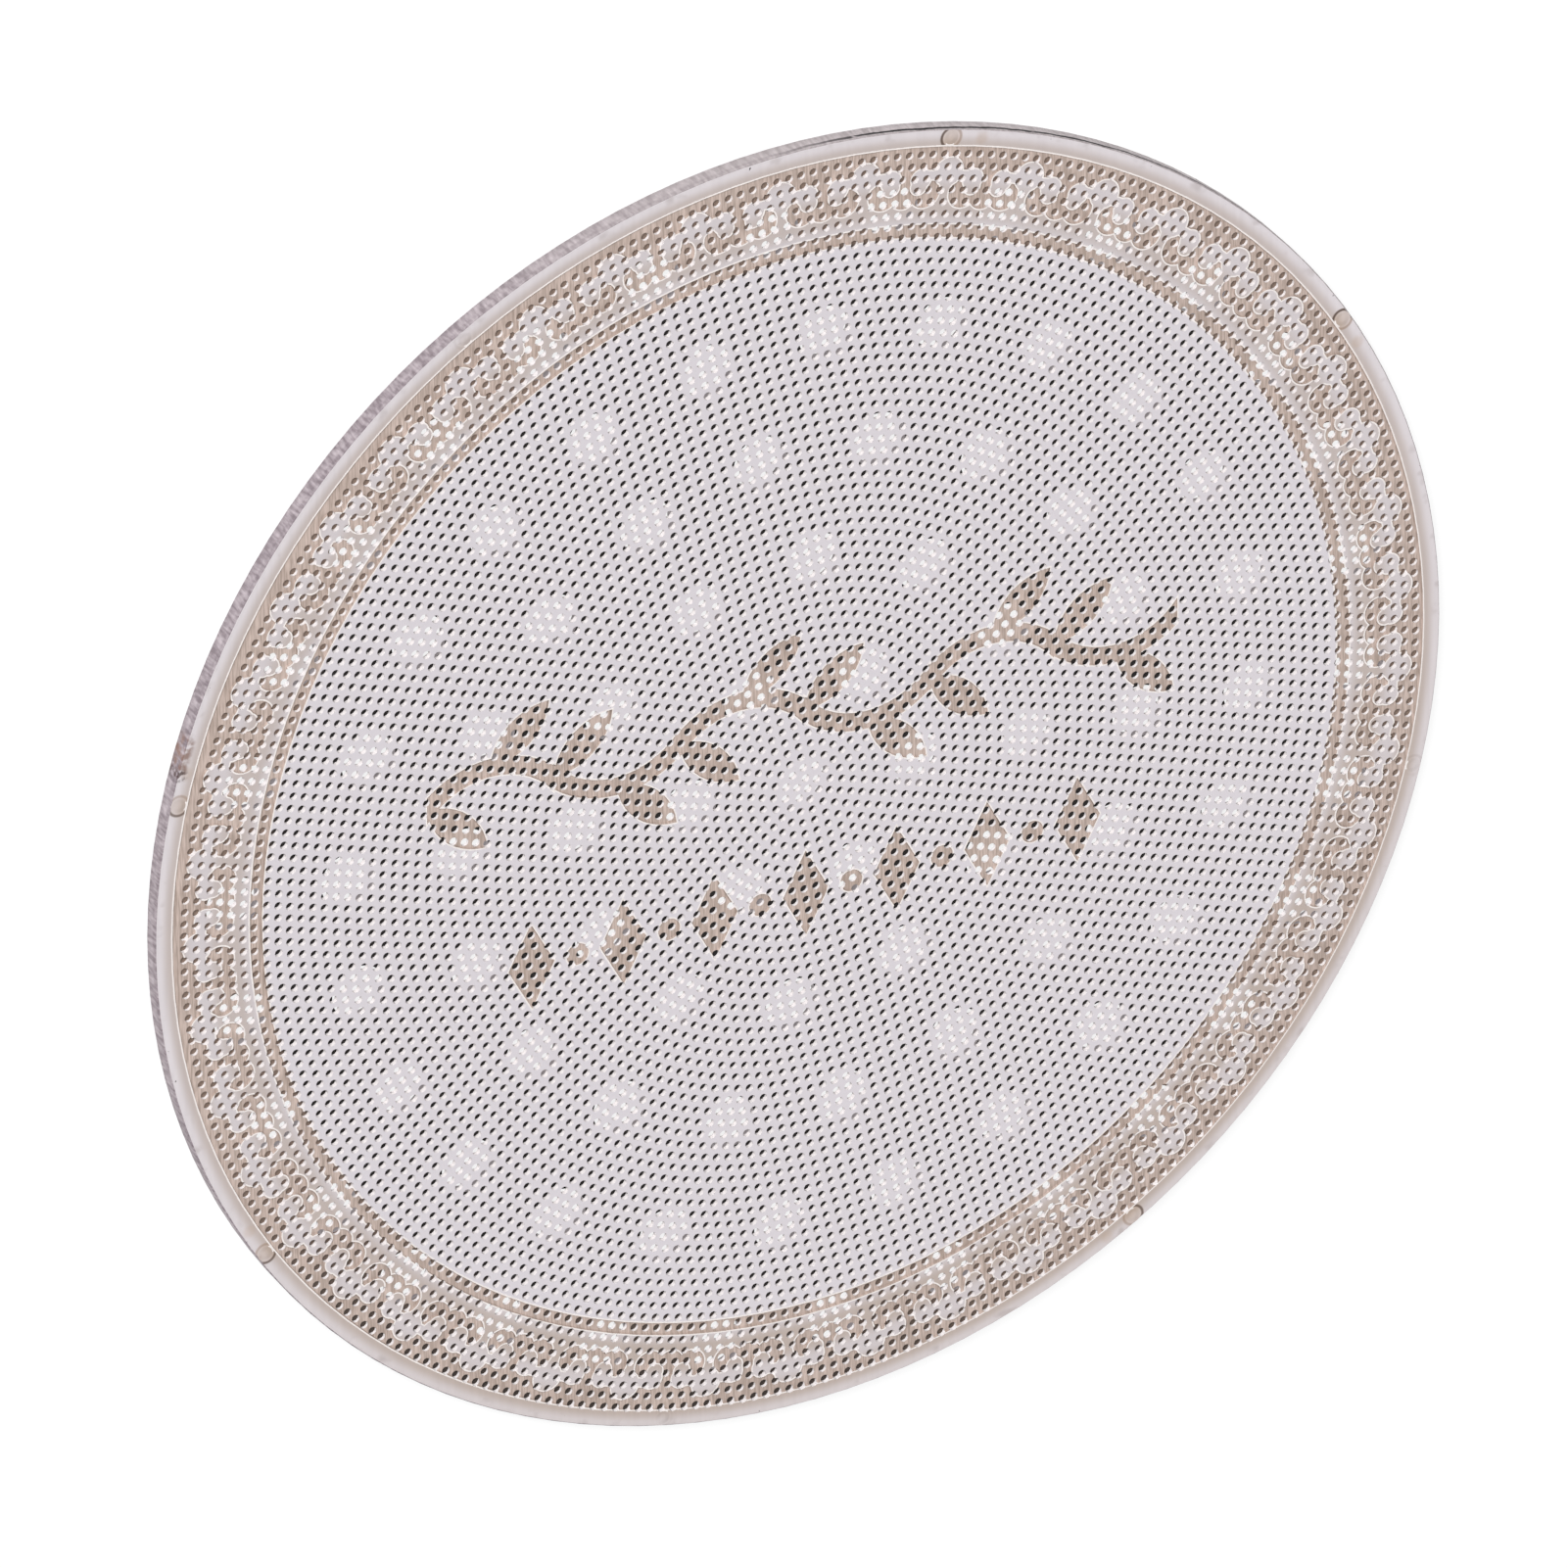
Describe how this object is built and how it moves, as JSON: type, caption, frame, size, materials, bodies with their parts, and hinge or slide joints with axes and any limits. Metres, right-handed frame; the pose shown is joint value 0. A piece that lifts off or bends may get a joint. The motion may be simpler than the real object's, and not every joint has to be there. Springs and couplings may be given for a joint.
{
  "type": "perforated filter disc",
  "caption": "Flat round filter disc for a coffee basket: a thin finely perforated steel screen with an etched scroll border, spot-welded to a stiffer back plate with coarse bores.",
  "frame": {"origin": "centre of the back plate's underside, on the surface that the disc lies on", "axes": "+Z along the disc's axis, out of the etched screen face; +X along the leaf scroll"},
  "size_m": [0.0535, 0.0534, 0.0007],
  "materials": {
    "plate_steel": "rolled stainless steel, punched bores",
    "screen_steel": "rolled stainless steel, etched ornament"
  },
  "bodies": {
    "root": {"back_plate": "plate_steel", "front_screen": "screen_steel"}
  },
  "joints": []
}
